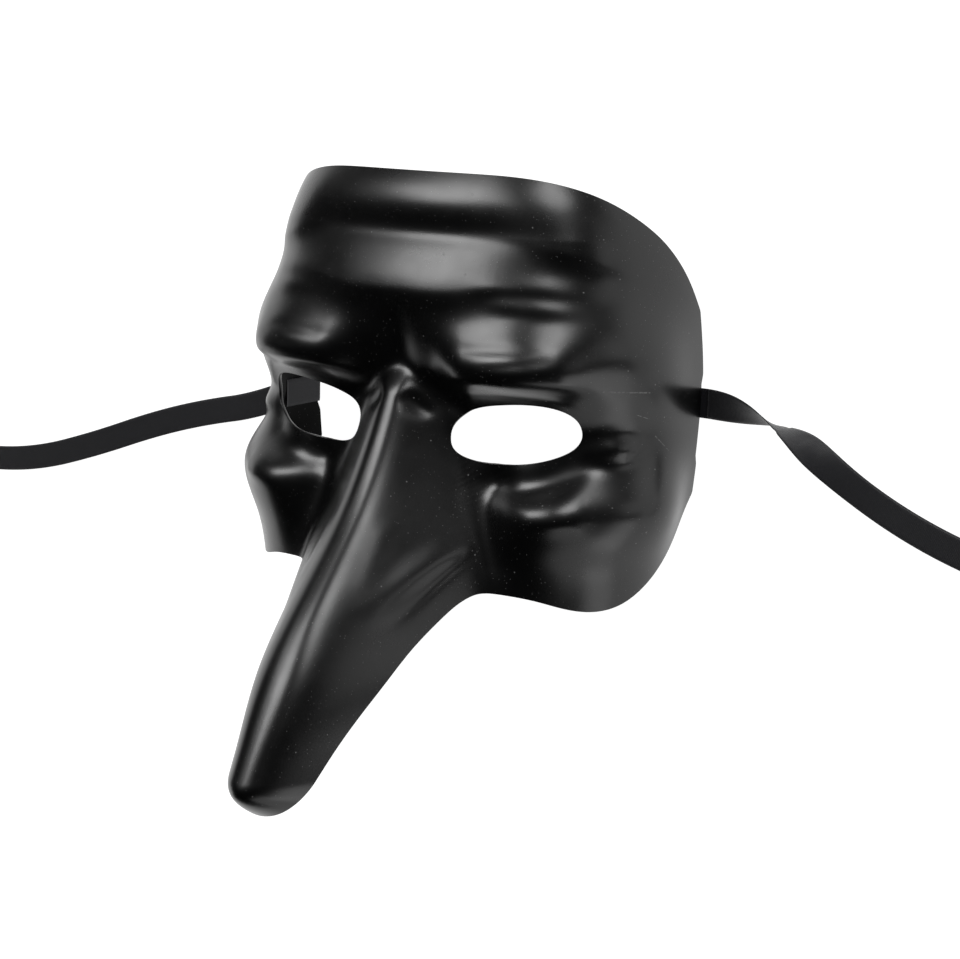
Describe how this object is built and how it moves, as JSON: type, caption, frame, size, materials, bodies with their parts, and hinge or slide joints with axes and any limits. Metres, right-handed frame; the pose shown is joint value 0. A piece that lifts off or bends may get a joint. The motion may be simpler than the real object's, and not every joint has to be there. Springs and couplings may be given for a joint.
{
  "type": "long-nosed half mask",
  "caption": "Black plastic half mask with a furrowed brow, open eye holes and a long drooping beak, tied on with two satin ribbons.",
  "frame": {"origin": "on the table, under the middle of the mask shell's box, with the mask lying face up on its side rims", "axes": "+Z the way the face looks, up from the table; +Y to the forehead; +X to the right as somebody facing the mask sees it"},
  "size_m": [0.6174, 0.1999, 0.1401],
  "materials": {
    "mask_plastic": "satin gloss",
    "ribbon_satin": "satin",
    "hot_glue": "translucent, slightly glossy"
  },
  "bodies": {
    "root": {"mask_shell": "mask_plastic", "ribbon_left": "ribbon_satin", "ribbon_right": "ribbon_satin", "ribbon_end_left": "ribbon_satin", "ribbon_end_right": "ribbon_satin", "glue_patch_left": "hot_glue", "glue_patch_right": "hot_glue"}
  },
  "joints": []
}
